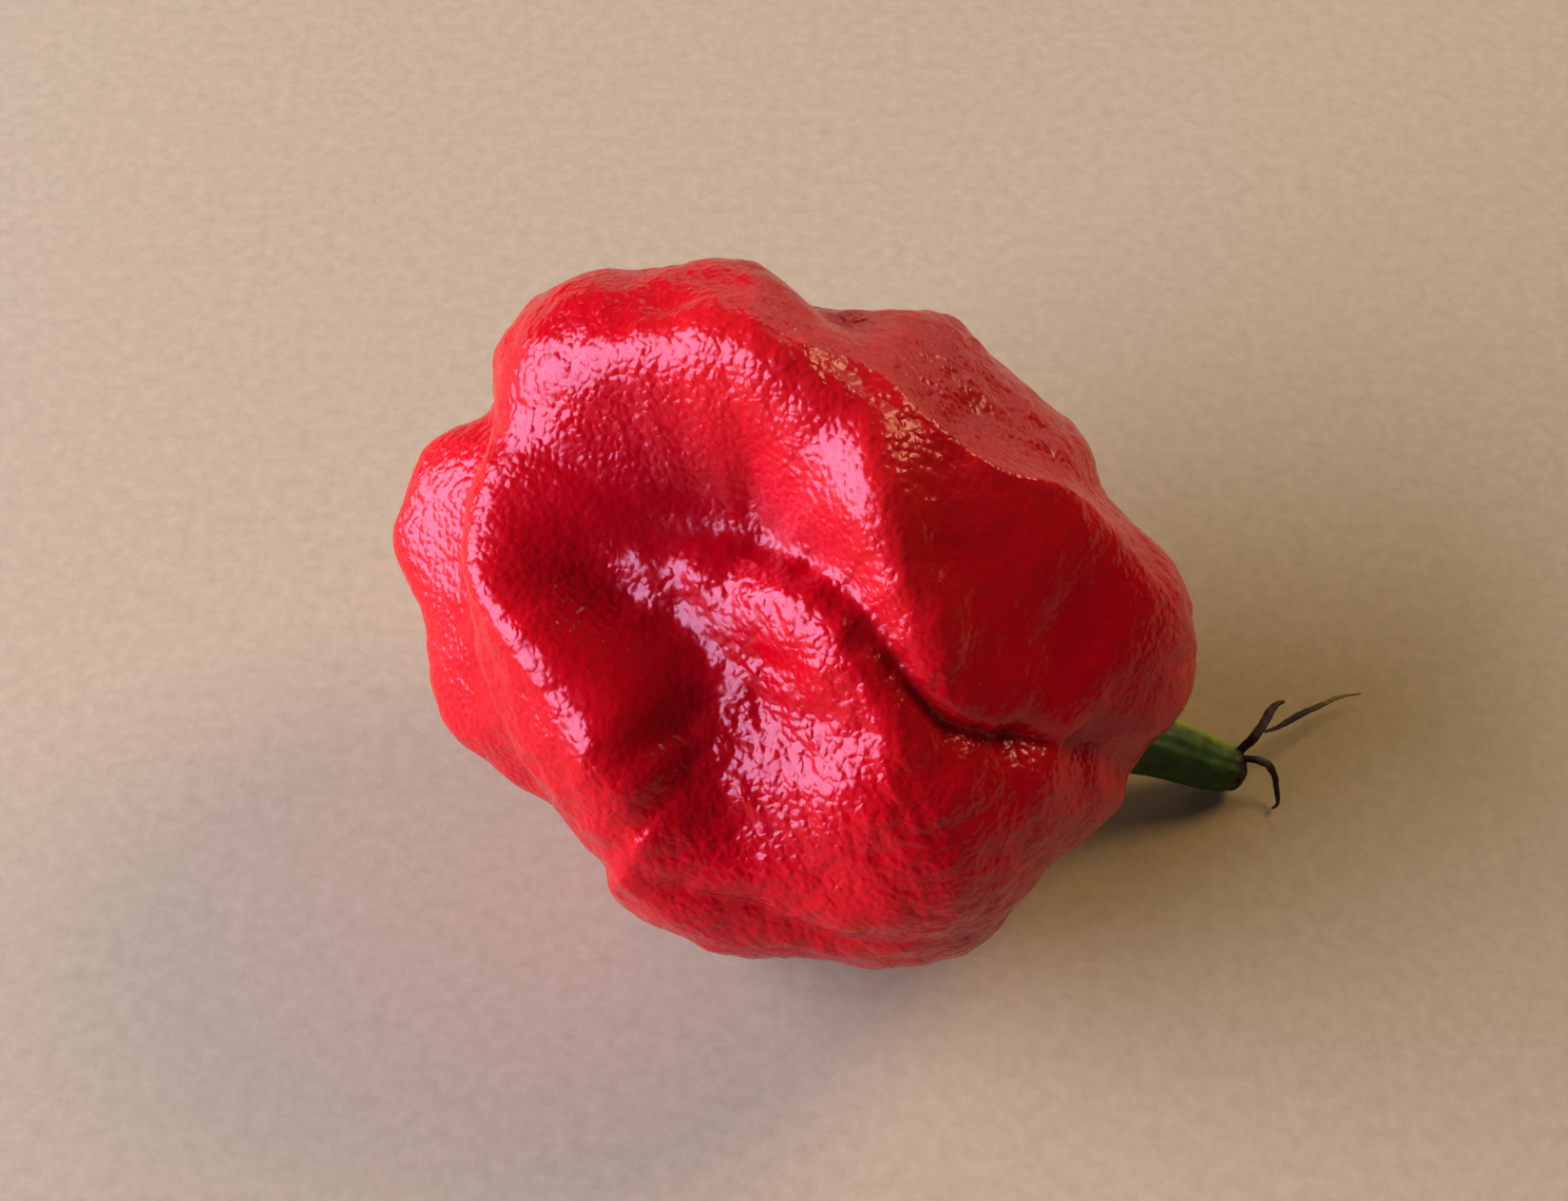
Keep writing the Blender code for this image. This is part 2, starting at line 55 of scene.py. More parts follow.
# Lines over the broad face that fix how far out the skin stands: x, y, z.
FACE = [
    ("outer rim",
     [(-21.4, 2.8, 8.8), (-20.3, 0.3, 9.9), (-18.5, -2.5, 11.1), (-16.6, -5.3, 11.9),
      (-15.3, -8.1, 12.1), (-13.9, -10.6, 11.8)]),
    ("left rim",
     [(-18.8, 9.1, 9.8), (-20.2, 6.9, 9.8), (-20.5, 4.6, 10.4), (-19.5, 2.5, 11.4),
      (-17.1, 0.3, 12.5), (-15.0, -2.2, 13.2), (-13.2, -4.6, 13.6), (-11.5, -6.7, 13.7),
      (-10.3, -9.2, 13.5), (-9.6, -12.1, 12.2)]),
    ("brow",
     [(-17.7, 12.2, 9.8), (-14.5, 13.5, 12.0), (-10.7, 14.3, 14.0), (-7.3, 13.4, 15.4),
      (-4.0, 12.5, 16.7), (-0.7, 11.9, 17.6)]),
    ("under the brow",
     [(-16.4, 10.4, 10.2), (-13.3, 11.5, 11.4), (-10.8, 11.8, 12.4), (-7.4, 11.0, 13.5),
      (-4.0, 10.3, 14.8)]),
    ("roof of the hollow",
     [(-14.0, 8.7, 10.6), (-10.9, 9.0, 11.2), (-7.4, 8.5, 12.0), (-4.0, 8.0, 13.1)]),
    ("back face",
     [(4.8, 13.6, 15.2), (7.6, 11.9, 13.6), (10.8, 10.5, 12.6), (13.7, 8.8, 11.0)]),
    ("right rim",
     [(1.4, 10.7, 18.2), (1.7, 8.6, 18.6), (2.0, 6.5, 18.8), (2.7, 4.2, 18.6), (3.8, 1.5, 18.3),
      (5.0, -0.9, 17.9), (6.4, -3.0, 17.2), (8.7, -4.7, 15.8), (11.6, -5.8, 13.9),
      (14.9, -6.7, 11.4)]),
    ("foot of the right rim",
     [(-1.1, 8.7, 16.4), (-0.9, 6.3, 15.6)]),
    ("crest",
     [(2.9, 11.4, 18.2), (4.7, 10.1, 18.0), (7.4, 8.1, 17.2), (9.9, 7.2, 16.4), (12.7, 7.0, 15.0),
      (15.3, 6.1, 13.2), (17.7, 4.5, 11.2)]),
    ("right face",
     [(6.5, 3.9, 17.6), (10.5, 1.2, 15.4), (15.1, 1.2, 12.6), (9.0, -2.1, 15.8), (13.5, -2.8, 12.8)]),
    ("upper valley",
     [(-17.5, 5.9, 10.4), (-14.7, 5.7, 10.2), (-10.9, 5.4, 10.4), (-6.5, 4.9, 11.2),
      (-3.1, 4.4, 12.4), (-0.3, 3.2, 14.2), (1.5, 1.8, 15.6), (3.0, -0.3, 16.1), (4.2, -2.6, 16.2)]),
    ("crease",
     [(5.4, -4.4, 16.2), (7.6, -6.1, 14.4), (10.8, -7.3, 12.3), (14.4, -8.0, 10.0)]),
    ("rib",
     [(-10.9, 3.0, 11.0), (-7.1, 2.9, 12.4), (-3.4, 2.6, 14.4), (-0.5, 1.5, 16.4), (1.3, -0.4, 17.3),
      (2.9, -3.0, 17.6), (4.4, -5.5, 17.2), (5.8, -8.0, 16.4)]),
    ("lower valley",
     [(-15.3, 2.1, 10.4), (-12.5, 0.9, 10.4), (-9.6, -0.3, 10.9), (-7.1, -1.6, 11.6),
      (-4.6, -3.1, 12.6), (-2.2, -4.4, 13.8), (0.3, -5.5, 15.0), (2.4, -6.5, 15.9)]),
    ("low ridge",
     [(6.6, -9.5, 15.8), (8.8, -9.0, 14.7), (11.7, -8.9, 13.0), (14.7, -9.2, 10.9)]),
    ("front dip",
     [(-8.7, -6.5, 12.0), (-7.4, -9.0, 11.8), (-4.9, -10.2, 12.2), (-5.6, -12.4, 11.4)]),
    ("front bump",
     [(3.1, -8.6, 16.4), (3.9, -10.8, 16.0), (2.2, -12.9, 14.6)]),
]

# Each fold: name, width on its left, width on its right, whether it is a sharp crease, and its line.
# A point on the line is x, y and height on the broad face, or x, y, z and height anywhere else.
FOLDS = [
    ("crest edge", 1.0, 1.4, True,
     [(1.4, 12.1, 0.0), (2.9, 11.7, 0.5), (4.7, 10.2, 0.8), (7.4, 8.1, 0.9), (9.8, 7.2, 0.8),
      (12.5, 6.9, 0.7), (14.9, 5.9, 0.4), (17.0, 4.3, 0.0)]),
    ("brow edge", 1.8, 1.4, False,
     [(-17.2, 11.9, 0.0), (-14.3, 13.4, 0.5), (-10.7, 14.4, 0.6), (-7.3, 13.7, 0.6),
      (-4.0, 13.0, 0.6), (-0.6, 12.3, 0.3)]),
    ("rim crease", 0.9, 1.1, True,
     [(1.5, 2.4, 0.0), (3.0, -0.2, -0.4), (4.3, -2.5, -0.8), (5.6, -4.4, -1.0), (7.6, -6.1, -1.0),
      (10.7, -7.1, -1.0), (14.0, -7.7, -0.8)]),
    ("bottom wrinkle", 1.2, 1.4, True,
     [(-11.3, -14.6, -0.2), (-9.2, -16.6, -0.6), (-4.1, -18.4, -0.7), (0.5, -19.3, -0.7),
      (5.0, -19.0, -0.3)]),
    ("top notch", 2.0, 2.0, False,
     [(-1.8, 20.6, -1.2), (0.5, 17.4, -1.2), (2.3, 14.5, -0.4)]),
    ("tip ridge", 3.0, 5.0, False,
     [(-18.5, 12.8, -5.0, 0.2), (-20.4, 10.4, -5.0, 3.2), (-21.5, 8.2, -5.0, 6.2),
      (-21.6, 5.0, -5.0, 5.8), (-21.6, 2.2, -5.2, 5.6), (-21.3, -0.4, -5.5, 4.8),
      (-21.0, -3.0, -5.8, 5.2), (-20.3, -5.4, -6.2, 5.4), (-19.0, -8.0, -6.8, 4.4),
      (-17.0, -10.6, -7.2, 2.6), (-14.5, -12.6, -7.6, 0.3)]),
    ("tip crease", 1.9, 1.9, True,
     [(-19.6, 11.8, 1.0, -0.6), (-20.6, 8.6, 3.0, -1.6), (-20.8, 4.0, 3.6, -2.2),
      (-20.8, -0.3, 3.4, -2.4), (-19.8, -3.4, 2.8, -2.6), (-18.0, -6.6, 2.4, -2.6),
      (-16.4, -9.8, 2.0, -2.2), (-14.2, -13.2, 1.4, -1.0)]),
    ("upper back valley", 3.2, 3.2, False,
     [(14.0, 4.0, -13.0, -0.6), (8.0, 11.0, -13.0, -2.6), (0.0, 14.0, -12.0, -3.2),
      (-8.0, 12.0, -12.0, -2.8), (-15.0, 7.0, -11.0, -1.6), (-19.0, 2.0, -9.0, -0.4)]),
    ("lower back valley", 2.6, 3.0, False,
     [(15.0, -12.0, -7.0, -0.6), (10.0, -16.0, -6.0, -1.6), (2.0, -18.0, -6.5, -2.0),
      (-6.0, -16.5, -7.5, -1.8), (-12.0, -12.0, -8.5, -0.6)]),
    ("back ridge", 4.0, 4.0, False,
     [(13.0, -1.0, -14.0, 0.4), (6.0, 3.0, -16.0, 1.8), (-2.0, 4.0, -16.0, 2.2),
      (-10.0, 2.0, -14.0, 1.6), (-16.0, -2.0, -11.0, 0.6)]),
]

# Each bump: name, its place as for a fold's point, radius and height.
BUMPS = [
    ("shoulder lobe", (-15.4, 15.0), 5.0, 0.8),
    ("belly", (5.0, -16.0), 6.0, 0.8),
    ("blossom tip", (-21.5, 4.0, -5.0), 2.0, 1.6),
    ("resting lump near the tip", (-10.5, -13.6, -13.2), 4.8, 1.0),
    ("resting lump near the stem", (9.5, -13.8, -12.8), 4.8, 0.3),
    ("resting lump at the back", (-1.0, -2.0, -18.6), 7.5, 4.0),
    ("top of the back", (-2.0, 17.0, -11.0), 6.0, 1.6),
    ("stem seat", (16.0, -6.8, -9.6), 4.6, -4.6),
    ("lobe above the seat", (17.5, 1.0, -9.5), 5.0, 1.4),
    ("lobe behind the seat", (12.0, -8.0, -14.5), 4.0, 1.0),
]

# Layers of the skin's relief, from lumps to pimples: height, size and seed.
SKIN_LAYERS = [(0.42, 4.6, 1), (0.21, 2.1, 2), (0.08, 1.15, 5), (0.05, 0.75, 4)]
WRINKLE_HEIGHT = 0.07
STREAK_HEIGHT = 0.13
STREAKED = ((0.5, -7.0, 12.0), (13, 9, 9))   # middle and reach of the streaks below the crease
# Calmer places on the broad face: middle, reach, how calm.
CALM = [
    ((12, 0, 12), (7.5, 7.5, 7.5), 1.0),
    ((-11, 7, 13), (8, 4, 6), 1.0),
    ((-11, -3, 14), (5, 4, 6), 0.9),
]

# The stem's centre line in the resting frame, from the calyx to the torn end, with its radius.
STEM = [
    (18.0, -1.4, 7.2, 2.4), (20.6, -1.0, 5.9, 2.2), (23.2, -0.8, 4.6, 2.05),
    (25.8, -0.85, 3.1, 1.85), (27.6, -0.9, 2.2, 1.65), (28.7, -0.9, 1.8, 1.45), (29.3, -0.9, 1.65, 1.0),
]
SEAT = (15.6, -1.8, 8.6)
STEM_TURNS = 60
CALYX_RADIUS = 4.3
CALYX_THICKNESS = 0.8
CALYX_GAP = 0.25

# Each dry strand's centre line in the resting frame, with its half-width.
STRANDS = {
    "upper_strand": [
        (28.8, -0.3, 2.9, 0.30), (29.5, 0.1, 3.4, 0.34), (30.0, 0.5, 3.75, 0.34),
        (30.8, 1.7, 3.7, 0.33), (31.4, 2.8, 3.5, 0.30), (31.9, 3.4, 3.3, 0.22), (32.5, 3.8, 3.1, 0.12)],
    "long_strand": [
        (30.9, 1.3, 3.1, 0.10), (31.7, 1.75, 2.85, 0.16), (32.4, 2.2, 2.75, 0.22),
        (33.7, 3.1, 2.6, 0.25),
        (35.2, 4.1, 2.1, 0.20), (36.7, 5.1, 1.6, 0.14), (38.4, 5.7, 1.2, 0.06)],
    "curled_strand": [
        (29.0, -0.6, 2.6, 0.26), (29.7, -0.75, 2.9, 0.28), (30.5, -0.9, 2.8, 0.32),
        (31.1, -1.0, 2.3, 0.30), (31.5, -1.5, 1.7, 0.24), (31.65, -2.1, 1.1, 0.19),
        (31.7, -2.9, 0.6, 0.13), (31.3, -3.2, 0.45, 0.08)],
}
STRAND_FLATNESS = 0.55
STRAND_TURNS = 16
STRAND_SEED = 7      # for the strands' unevenness
RIB_AND_HIGHLIGHT_ANGLE = 1.0      # how far round the stem the raised rib and its painted highlight run, in radians from level
TORN_FROM = 28.0     # where the torn end of the stem starts to dry out
GREEN_FROM = 34.2    # beyond this the longest strand is still green

# The camera: what it looks at in the pod's own frame, how far off it is, and its lens.
CAMERA_AIM = (-2.1, 1.08, 0.0)
CAMERA_DISTANCE = 165.7
CAMERA_LENS = 60.0


def edge_radius(angle):
    """The outline's radius at an angle, a smooth closed curve through its points."""
    points = np.array(OUTLINE)
    angles = np.arctan2(points[:, 1], points[:, 0])
    order = np.argsort(angles)
    a, r = angles[order], np.hypot(points[:, 0], points[:, 1])[order]
    a = np.concatenate([a[-2:] - 2 * np.pi, a, a[:2] + 2 * np.pi])
    r = np.concatenate([r[-2:], r, r[:2]])
    slope = np.zeros(len(a))
    slope[1:-1] = (r[2:] - r[:-2]) / (a[2:] - a[:-2])
    angle = np.mod(angle - a[1], 2 * np.pi) + a[1]
    i = np.clip(np.searchsorted(a, angle, side="right") - 1, 1, len(a) - 3)
    h = a[i + 1] - a[i]
    t = (angle - a[i]) / h
    return (r[i] * (1 + 2 * t) * (1 - t) ** 2 + h * slope[i] * t * (1 - t) ** 2
            + r[i + 1] * t * t * (3 - 2 * t) + h * slope[i + 1] * t * t * (t - 1))


def base_radius(directions):
    """Distance from the centre to the plain pod, before any fold, along each unit direction."""
    flat = np.hypot(directions[:, 0], directions[:, 1])
    edge = edge_radius(np.arctan2(directions[:, 1], directions[:, 0]))
    depth = np.where(directions[:, 2] > 0, FACE_DEPTH, UNDER_DEPTH)
    return ((flat / edge) ** EDGE_POWER
            + (np.abs(directions[:, 2]) / depth) ** EDGE_POWER) ** (-1 / EDGE_POWER)


def on_base(place):
    """The point of the plain pod at x, y on its broad face, or in the direction of x, y, z."""
    if len(place) == 2:
        x, y = place
        share = math.hypot(x, y) / edge_radius(np.array([math.atan2(y, x)]))[0]
        if share > 0.999:
            x, y, share = x * 0.999 / share, y * 0.999 / share, 0.999
        return np.array([x, y, FACE_DEPTH * (1 - share ** EDGE_POWER) ** (1 / EDGE_POWER)])
    direction = np.array(place, float) / np.linalg.norm(place)
    return direction * base_radius(direction[None])[0]


def smooth_line(points, steps):
    """A smooth line through the points, with the same number of steps between each two."""
    p = np.array(points, float)
    p = np.concatenate([[2 * p[0] - p[1]], p, [2 * p[-1] - p[-2]]])
    line = []
    for before, start, end, after in zip(p[:-3], p[1:-2], p[2:-1], p[3:]):
        for t in np.arange(steps) / steps:
            line.append(0.5 * (2 * start + (end - before) * t
                               + (2 * before - 5 * start + 4 * end - after) * t * t
                               + (3 * start - before - 3 * end + after) * t ** 3))
    line.append(p[-2])
    return np.array(line)


def fold_height(base, width_left, width_right, crease, line):
    """How far one fold raises each point of the plain pod."""
    line = smooth_line(line, 6)
    line = np.array([[*on_base(tuple(p[:-1])), p[-1]] for p in line])
    reach = (4.5 if crease else 2.8) * max(width_left, width_right)
    close = ((base > line[:, :3].min(0) - reach) & (base < line[:, :3].max(0) + reach)).all(1)
    points = base[close]
    rise = np.zeros(len(points))
    for a, b in zip(line[:-1], line[1:]):
        along = b[:3] - a[:3]
        away = points - a[:3]
        t = np.clip(away @ along / (along @ along), 0, 1)
        distance = np.linalg.norm(away - t[:, None] * along, axis=1)
        left = (np.cross(along, away) * points).sum(1) / np.linalg.norm(along)
        left = np.clip(left / (np.linalg.norm(points, axis=1) * np.maximum(distance, 0.05)), -1, 1)
        x = distance / (0.5 * (width_left + width_right) + 0.5 * left * (width_left - width_right))
        height = a[3] + t * (b[3] - a[3])
        height *= np.exp(-1.6 * (np.sqrt(x * x + 0.06) - 0.245)) if crease else np.exp(-x * x)
        rise = np.where(np.abs(height) > np.abs(rise), height, rise)
    everywhere = np.zeros(len(base))
    everywhere[close] = rise
    return everywhere


def fold_heights(base):
    """How far the folds and bumps raise each point of the plain pod."""
    rise = np.zeros(len(base))
    for _, width_left, width_right, crease, line in FOLDS:
        rise += fold_height(base, width_left, width_right, crease, line)
    for _, place, radius, height in BUMPS:
        rise += height * np.exp(-((base - on_base(place)) ** 2).sum(1) / radius ** 2)
    return rise


def spacing(a, b):
    """Softened distances between two sets of points."""
    squares = (a ** 2).sum(1)[:, None] + (b ** 2).sum(1) - 2 * a @ b.T
    return np.sqrt(np.maximum(squares, 0) + FACE_SOFTNESS ** 2)


def face_heights(base):
    """How far the broad face is raised or sunk so that its lines stand where FACE puts them."""
    lines = np.array([point for _, line in FACE for point in line])
    radius = np.linalg.norm(lines, axis=1)
    headings = lines / radius[:, None]
    knots = headings * base_radius(headings)[:, None]
    wanted = radius - base_radius(headings) - fold_heights(knots)
    still = [(math.cos(a), math.sin(a), z) for z in (0.14, -0.3) for a in np.arange(30) * math.pi / 15]
    still += [(math.cos(a), math.sin(a), -1.2) for a in np.arange(8) * math.pi / 4] + [(0.0, 0.0, -1.0)]
    still = np.array(still) / np.linalg.norm(still, axis=1)[:, None]
    knots = np.concatenate([knots, still * base_radius(still)[:, None]])
    wanted = np.concatenate([wanted, np.zeros(len(still))])
    weights = np.linalg.solve(spacing(knots, knots) - FACE_EASE * np.eye(len(knots)), wanted)
    return spacing(base, knots) @ weights


def soft_noise(points, size, seed):
    """Smooth noise from -1 to 1 whose features are about this many millimetres across."""
    shift = np.array((seed * 17.3, seed * -9.1, seed * 4.7))
    return np.array([noise.noise(Vector(p)) for p in points / size + shift])


def near(base, middle, reach):
    """How close each point is to a place, from 0 to 1, falling off over its reach in x, y and z."""
    return np.exp(-(((base - middle) / reach) ** 2).sum(1))


def skin_detail(base):
    """The lumps, wrinkles, streaks and pimples of the skin, in millimetres, and how lively it is."""
    height = sum(share * soft_noise(base, size, seed) for share, size, seed in SKIN_LAYERS)
    height = height + WRINKLE_HEIGHT * (1 - 2 * np.abs(soft_noise(base * (1.0, 1.6, 1.0), 1.9, 3)))
    lean = base @ np.array(((0.92, 0.40, 0.0), (-0.40, 0.92, 0.0), (0.0, 0.0, 1.0))).T
    streaks = 1 - 2 * np.abs(soft_noise(lean * (1.0, 0.26, 0.5), 1.25, 6))
    lively = 1 - 0.7 * np.max([how * near(base, middle, reach) for middle, reach, how in CALM], axis=0)
    return lively * height + STREAK_HEIGHT * near(base, *STREAKED) * streaks, lively


def pod_points(directions):
    """The pod's skin along each unit direction, in its own frame, with its folds' height and how
    lively it is."""
    base = directions * base_radius(directions)[:, None]
    folds = fold_heights(base) + face_heights(base)
    detail, lively = skin_detail(base)
    return base + directions * (folds + detail)[:, None], folds, lively


def laid_down(points):
    """Rolls the pod as it lies, sets its centre's height and presses its lowest lumps level."""
    c, s = math.cos(math.radians(ROLL)), math.sin(math.radians(ROLL))
    x, y, z = points.T
    height = y * s + z * c + CENTRE_HEIGHT
    height = np.where(height < PRESS, 0.0, height)
    soft = (height >= PRESS) & (height < 3 * PRESS)
    height = np.where(soft, (height - PRESS) * 1.5, height)
    return np.stack([x, y * c - z * s, height], 1)


def ball(divisions):
    """Unit directions and outward quads of a cube, divided evenly and blown up into a ball."""
    tangent = np.tan(np.linspace(-math.pi / 4, math.pi / 4, divisions + 1))
    index, directions, quads = {}, [], []
    for out, first, second in [(0, 1, 2), (1, 2, 0), (2, 0, 1)]:
        for sign in (1, -1):
            grid = []
            for i in range(divisions + 1):
                row = []
                for j in range(divisions + 1):
                    key = [0, 0, 0]
                    key[out] = sign * divisions
                    key[first] = sign * (2 * i - divisions)
                    key[second] = 2 * j - divisions
                    key = tuple(key)
                    if key not in index:
                        index[key] = len(directions)
                        point = np.zeros(3)
                        point[out], point[first], point[second] = sign, sign * tangent[i], tangent[j]
                        directions.append(point / np.linalg.norm(point))
                    row.append(index[key])
                grid.append(row)
            for i in range(divisions):
                for j in range(divisions):
                    quads.append((grid[i][j], grid[i + 1][j], grid[i + 1][j + 1], grid[i][j + 1]))
    return np.array(directions), quads


def rings_to_faces(rings, turns):
    """Faces of a closed body whose points are one start pole, the rings in order, and one end pole."""
    faces = [(0, 1 + (k + 1) % turns, 1 + k) for k in range(turns)]
    for r in range(rings - 1):
        a, b = 1 + r * turns, 1 + (r + 1) * turns
        faces += [(a + k, a + (k + 1) % turns, b + (k + 1) % turns, b + k) for k in range(turns)]
    last = 1 + (rings - 1) * turns
    faces += [(last + k, last + (k + 1) % turns, 1 + rings * turns) for k in range(turns)]
    return faces


def across(direction):
    """Two unit vectors square to a direction, the first one level."""
    direction = Vector(direction).normalized()
    level = Vector((0, 0, 1)).cross(direction).normalized()
    return np.array(level), np.array(direction.cross(level))


def tube(line, flatness, turns):
    """Points and faces of a closed rod along x, y, z and half-width, oval where flatness is below 1."""
    line = np.asarray(line)
    heading = np.gradient(line[:, :3], axis=0)
    heading /= np.linalg.norm(heading, axis=1)[:, None]
    points = [line[0, :3] - heading[0] * 0.4 * line[0, 3]]
    for p, h in zip(line, heading):
        level, up = across(h)
        for k in range(turns):
            a = 2 * math.pi * k / turns
            points.append(p[:3] + p[3] * (math.cos(a) * level + flatness * math.sin(a) * up))
    points.append(line[-1, :3] + heading[-1] * 0.4 * line[-1, 3])
    return np.array(points), rings_to_faces(len(line), turns)


def above(skin, start, heading, gap):
    """Where a line along -heading from start meets the skin, moved back out by a gap."""
    hit = skin.ray_cast(Vector(start * MM), Vector(-heading))[0]
    return np.array(hit) / MM + heading * gap


def stem_body(skin):
    """The calyx, laid on the skin, with the stem that grows out of it: its points, its faces, and
    at each point how strong the painted highlight along the stem's top is and how dried out it is."""
    seat = np.array(SEAT)
    heading = np.array(STEM[0][:3]) - seat
    heading /= np.linalg.norm(heading)
    level, up = across(heading)
    turn = [2 * math.pi * k / STEM_TURNS for k in range(STEM_TURNS)]
    points = [above(skin, seat + heading * 14, heading, CALYX_GAP)]
    rings = 0
    for share, lift in [(0.35, 0.0), (0.7, 0.0), (0.92, 0.02), (1.0, 0.12), (1.0, 0.3), (0.94, 0.5),
                        (0.86, 0.66), (0.76, CALYX_THICKNESS), (0.68, CALYX_THICKNESS + 0.2),
                        (0.61, CALYX_THICKNESS + 0.5)]:
        for a in turn:
            lobe = 1 + share * (0.10 * math.cos(5 * a) + 0.03 * math.cos(13 * a + 1))
            offset = CALYX_RADIUS * share * lobe * (math.cos(a) * level + math.sin(a) * up)
            points.append(above(skin, seat + heading * 14 + offset, heading, CALYX_GAP + lift))
        rings += 1
    painted_highlight = [0.0] * len(points)
    torn = [0.0] * len(points)
    line = smooth_line(STEM, 8)
    stem_points = tube(line, 1.0, STEM_TURNS)[0][1:]
    for k, p in enumerate(stem_points[:-1]):
        centre = line[k // STEM_TURNS, :3]
        a = 2 * math.pi * (k % STEM_TURNS) / STEM_TURNS
        ribs = 1 + 0.045 * math.cos(5 * a + 0.6) + 0.02 * math.cos(11 * a)
        ribs += 0.03 * noise.noise(Vector(p) / 0.9)
        ribs += 0.09 * math.exp(-((a - RIB_AND_HIGHLIGHT_ANGLE) / 0.16) ** 2)
        ragged = 0.5 * noise.noise(Vector(p) / 0.7) + 0.4 * noise.noise(Vector(p) / 0.3)
        dried = min(max((centre[0] + ragged - TORN_FROM) / 0.8, 0.0), 1.0)
        ribs -= 0.22 * dried * abs(noise.noise(Vector(p) / 0.45))
        points.append(centre + (p - centre) * ribs)
        # Painted highlight: a lighter line along the stem's top, over the raised rib, fading where the end
        # dries out.
        painted_highlight.append(math.exp(-((a - RIB_AND_HIGHLIGHT_ANGLE + 0.15 * ragged) / 0.26) ** 2) * (1 - dried))
        torn.append(dried)
        if k % STEM_TURNS == 0:
            rings += 1
    points.append(stem_points[-1])
    return np.array(points), rings_to_faces(rings, STEM_TURNS), painted_highlight + [0.0], torn + [1.0]


def paint(ob, name, values):
    """Stores a value at every vertex for the piece's material."""
    ob.data.attributes.new(name, "FLOAT", "POINT").data.foreach_set("value", np.asarray(values, np.float32))


def new_material(name):
    mat = bpy.data.materials.new(name)
    mat.use_nodes = True
    tree = mat.node_tree
    return mat, tree, tree.nodes["Principled BSDF"]


def add(tree, kind, **values):
    """A shader node with its properties and unlinked inputs set by name."""
    node = tree.nodes.new(kind)
    for name, value in values.items():
        if name.startswith("in_"):
            socket = name[3:].replace("_", " ")
            node.inputs[int(socket) if socket.isdigit() else socket].default_value = value
        else:
            setattr(node, name, value)
    return node


def grain(tree, scale, detail=4.0, roughness=0.5, stretch=(1, 1, 1)):
    """A noise pattern fixed to the object, with features 1/scale of a metre apart."""
    place = add(tree, "ShaderNodeTexCoord")
    size = add(tree, "ShaderNodeMapping")
    size.inputs["Scale"].default_value = stretch
    pattern = add(tree, "ShaderNodeTexNoise", in_Scale=scale, in_Detail=detail, in_Roughness=roughness)
    tree.links.new(place.outputs["Object"], size.inputs["Vector"])
    tree.links.new(size.outputs[0], pattern.inputs["Vector"])
    return pattern.outputs[0]


def ramp(tree, source, stops):
    """A colour ramp over a value."""
    node = add(tree, "ShaderNodeValToRGB")
    while len(node.color_ramp.elements) < len(stops):
        node.color_ramp.elements.new(0.5)
    for element, (at, colour) in zip(node.color_ramp.elements, stops):
        element.position = at
        element.color = (*colour, 1)
    tree.links.new(source, node.inputs[0])
    return node.outputs[0]


def spread(tree, source, low, high, to_low, to_high):
    """A value moved from one range to another."""
    node = add(tree, "ShaderNodeMapRange")
    for name, value in (("From Min", low), ("From Max", high), ("To Min", to_low), ("To Max", to_high)):
        node.inputs[name].default_value = value
    tree.links.new(source, node.inputs[0])
    return node.outputs[0]


def bump(tree, source, strength, distance, under=None):
    """A bump of this height in metres, over another bump."""
    node = add(tree, "ShaderNodeBump", in_Strength=strength, in_Distance=distance)
    tree.links.new(source, node.inputs["Height"])
    if under:
        tree.links.new(under, node.inputs["Normal"])
    return node.outputs[0]


def mix(tree, share, a, b, blend="MIX"):
    """Two colours mixed by a value or by a fixed share."""
    node = add(tree, "ShaderNodeMix", data_type="RGBA", blend_type=blend)
    for socket, value in ((node.inputs[0], share), (node.inputs[6], a), (node.inputs[7], b)):
        if isinstance(value, bpy.types.NodeSocket):
            tree.links.new(value, socket)
        elif isinstance(value, tuple):
            socket.default_value = (*value, 1)
        else:
            socket.default_value = value
    return node.outputs[2]


def pebbles(tree, scale):
    """Rounded pebbles with fine pores between them, fixed to the object."""
    place = add(tree, "ShaderNodeTexCoord")
    stir = add(tree, "ShaderNodeTexNoise", in_Scale=scale * 0.7, in_Detail=1.0)
    shifted = add(tree, "ShaderNodeMix", data_type="VECTOR", in_0=0.0005)
    cells = add(tree, "ShaderNodeTexVoronoi", feature="SMOOTH_F1", in_Scale=scale, in_Smoothness=0.35)
    tree.links.new(place.outputs["Object"], stir.inputs["Vector"])
    tree.links.new(place.outputs["Object"], shifted.inputs[4])
    tree.links.new(stir.outputs["Color"], shifted.inputs[5])
    tree.links.new(shifted.outputs[1], cells.inputs["Vector"])
    return spread(tree, cells.outputs["Distance"], 0.1, 0.8, 1.0, 0.0)


